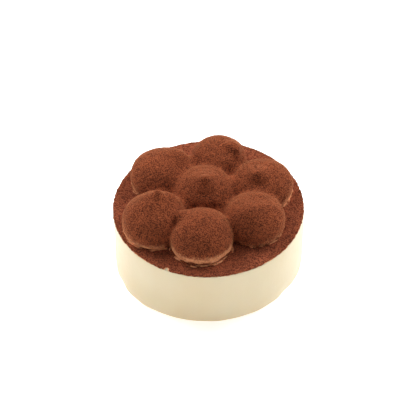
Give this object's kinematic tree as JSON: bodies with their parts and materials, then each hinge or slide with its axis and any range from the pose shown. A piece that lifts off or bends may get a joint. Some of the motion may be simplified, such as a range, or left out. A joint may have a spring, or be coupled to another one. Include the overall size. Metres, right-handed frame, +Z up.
{
  "type": "tiramisu",
  "caption": "Single-portion tiramisu: a smooth straight-sided round of pale mousse under a layer of cocoa, crowned with soft piped dollops dusted with cocoa",
  "frame": {"origin": "centre of the base, on the surface that the tiramisu stands on", "axes": "+Z up through the middle of the round, -Y to the side that faced the camera, +X to the right seen from there"},
  "size_m": [0.0801, 0.08, 0.0456],
  "materials": {
    "mousse": "smooth, slightly moist ivory mousse",
    "cocoa": "dry cocoa powder, matt and finely grained",
    "dusted_dollop": "cocoa powder over cream, matt and finely grained"
  },
  "bodies": {
    "root": {"mousse_round": "mousse", "cocoa_layer": "cocoa", "dollop_front": "dusted_dollop", "dollop_front_right": "dusted_dollop", "dollop_back_right": "dusted_dollop", "dollop_back": "dusted_dollop", "dollop_back_left": "dusted_dollop", "dollop_front_left": "dusted_dollop", "dollop_middle": "dusted_dollop"}
  },
  "joints": []
}
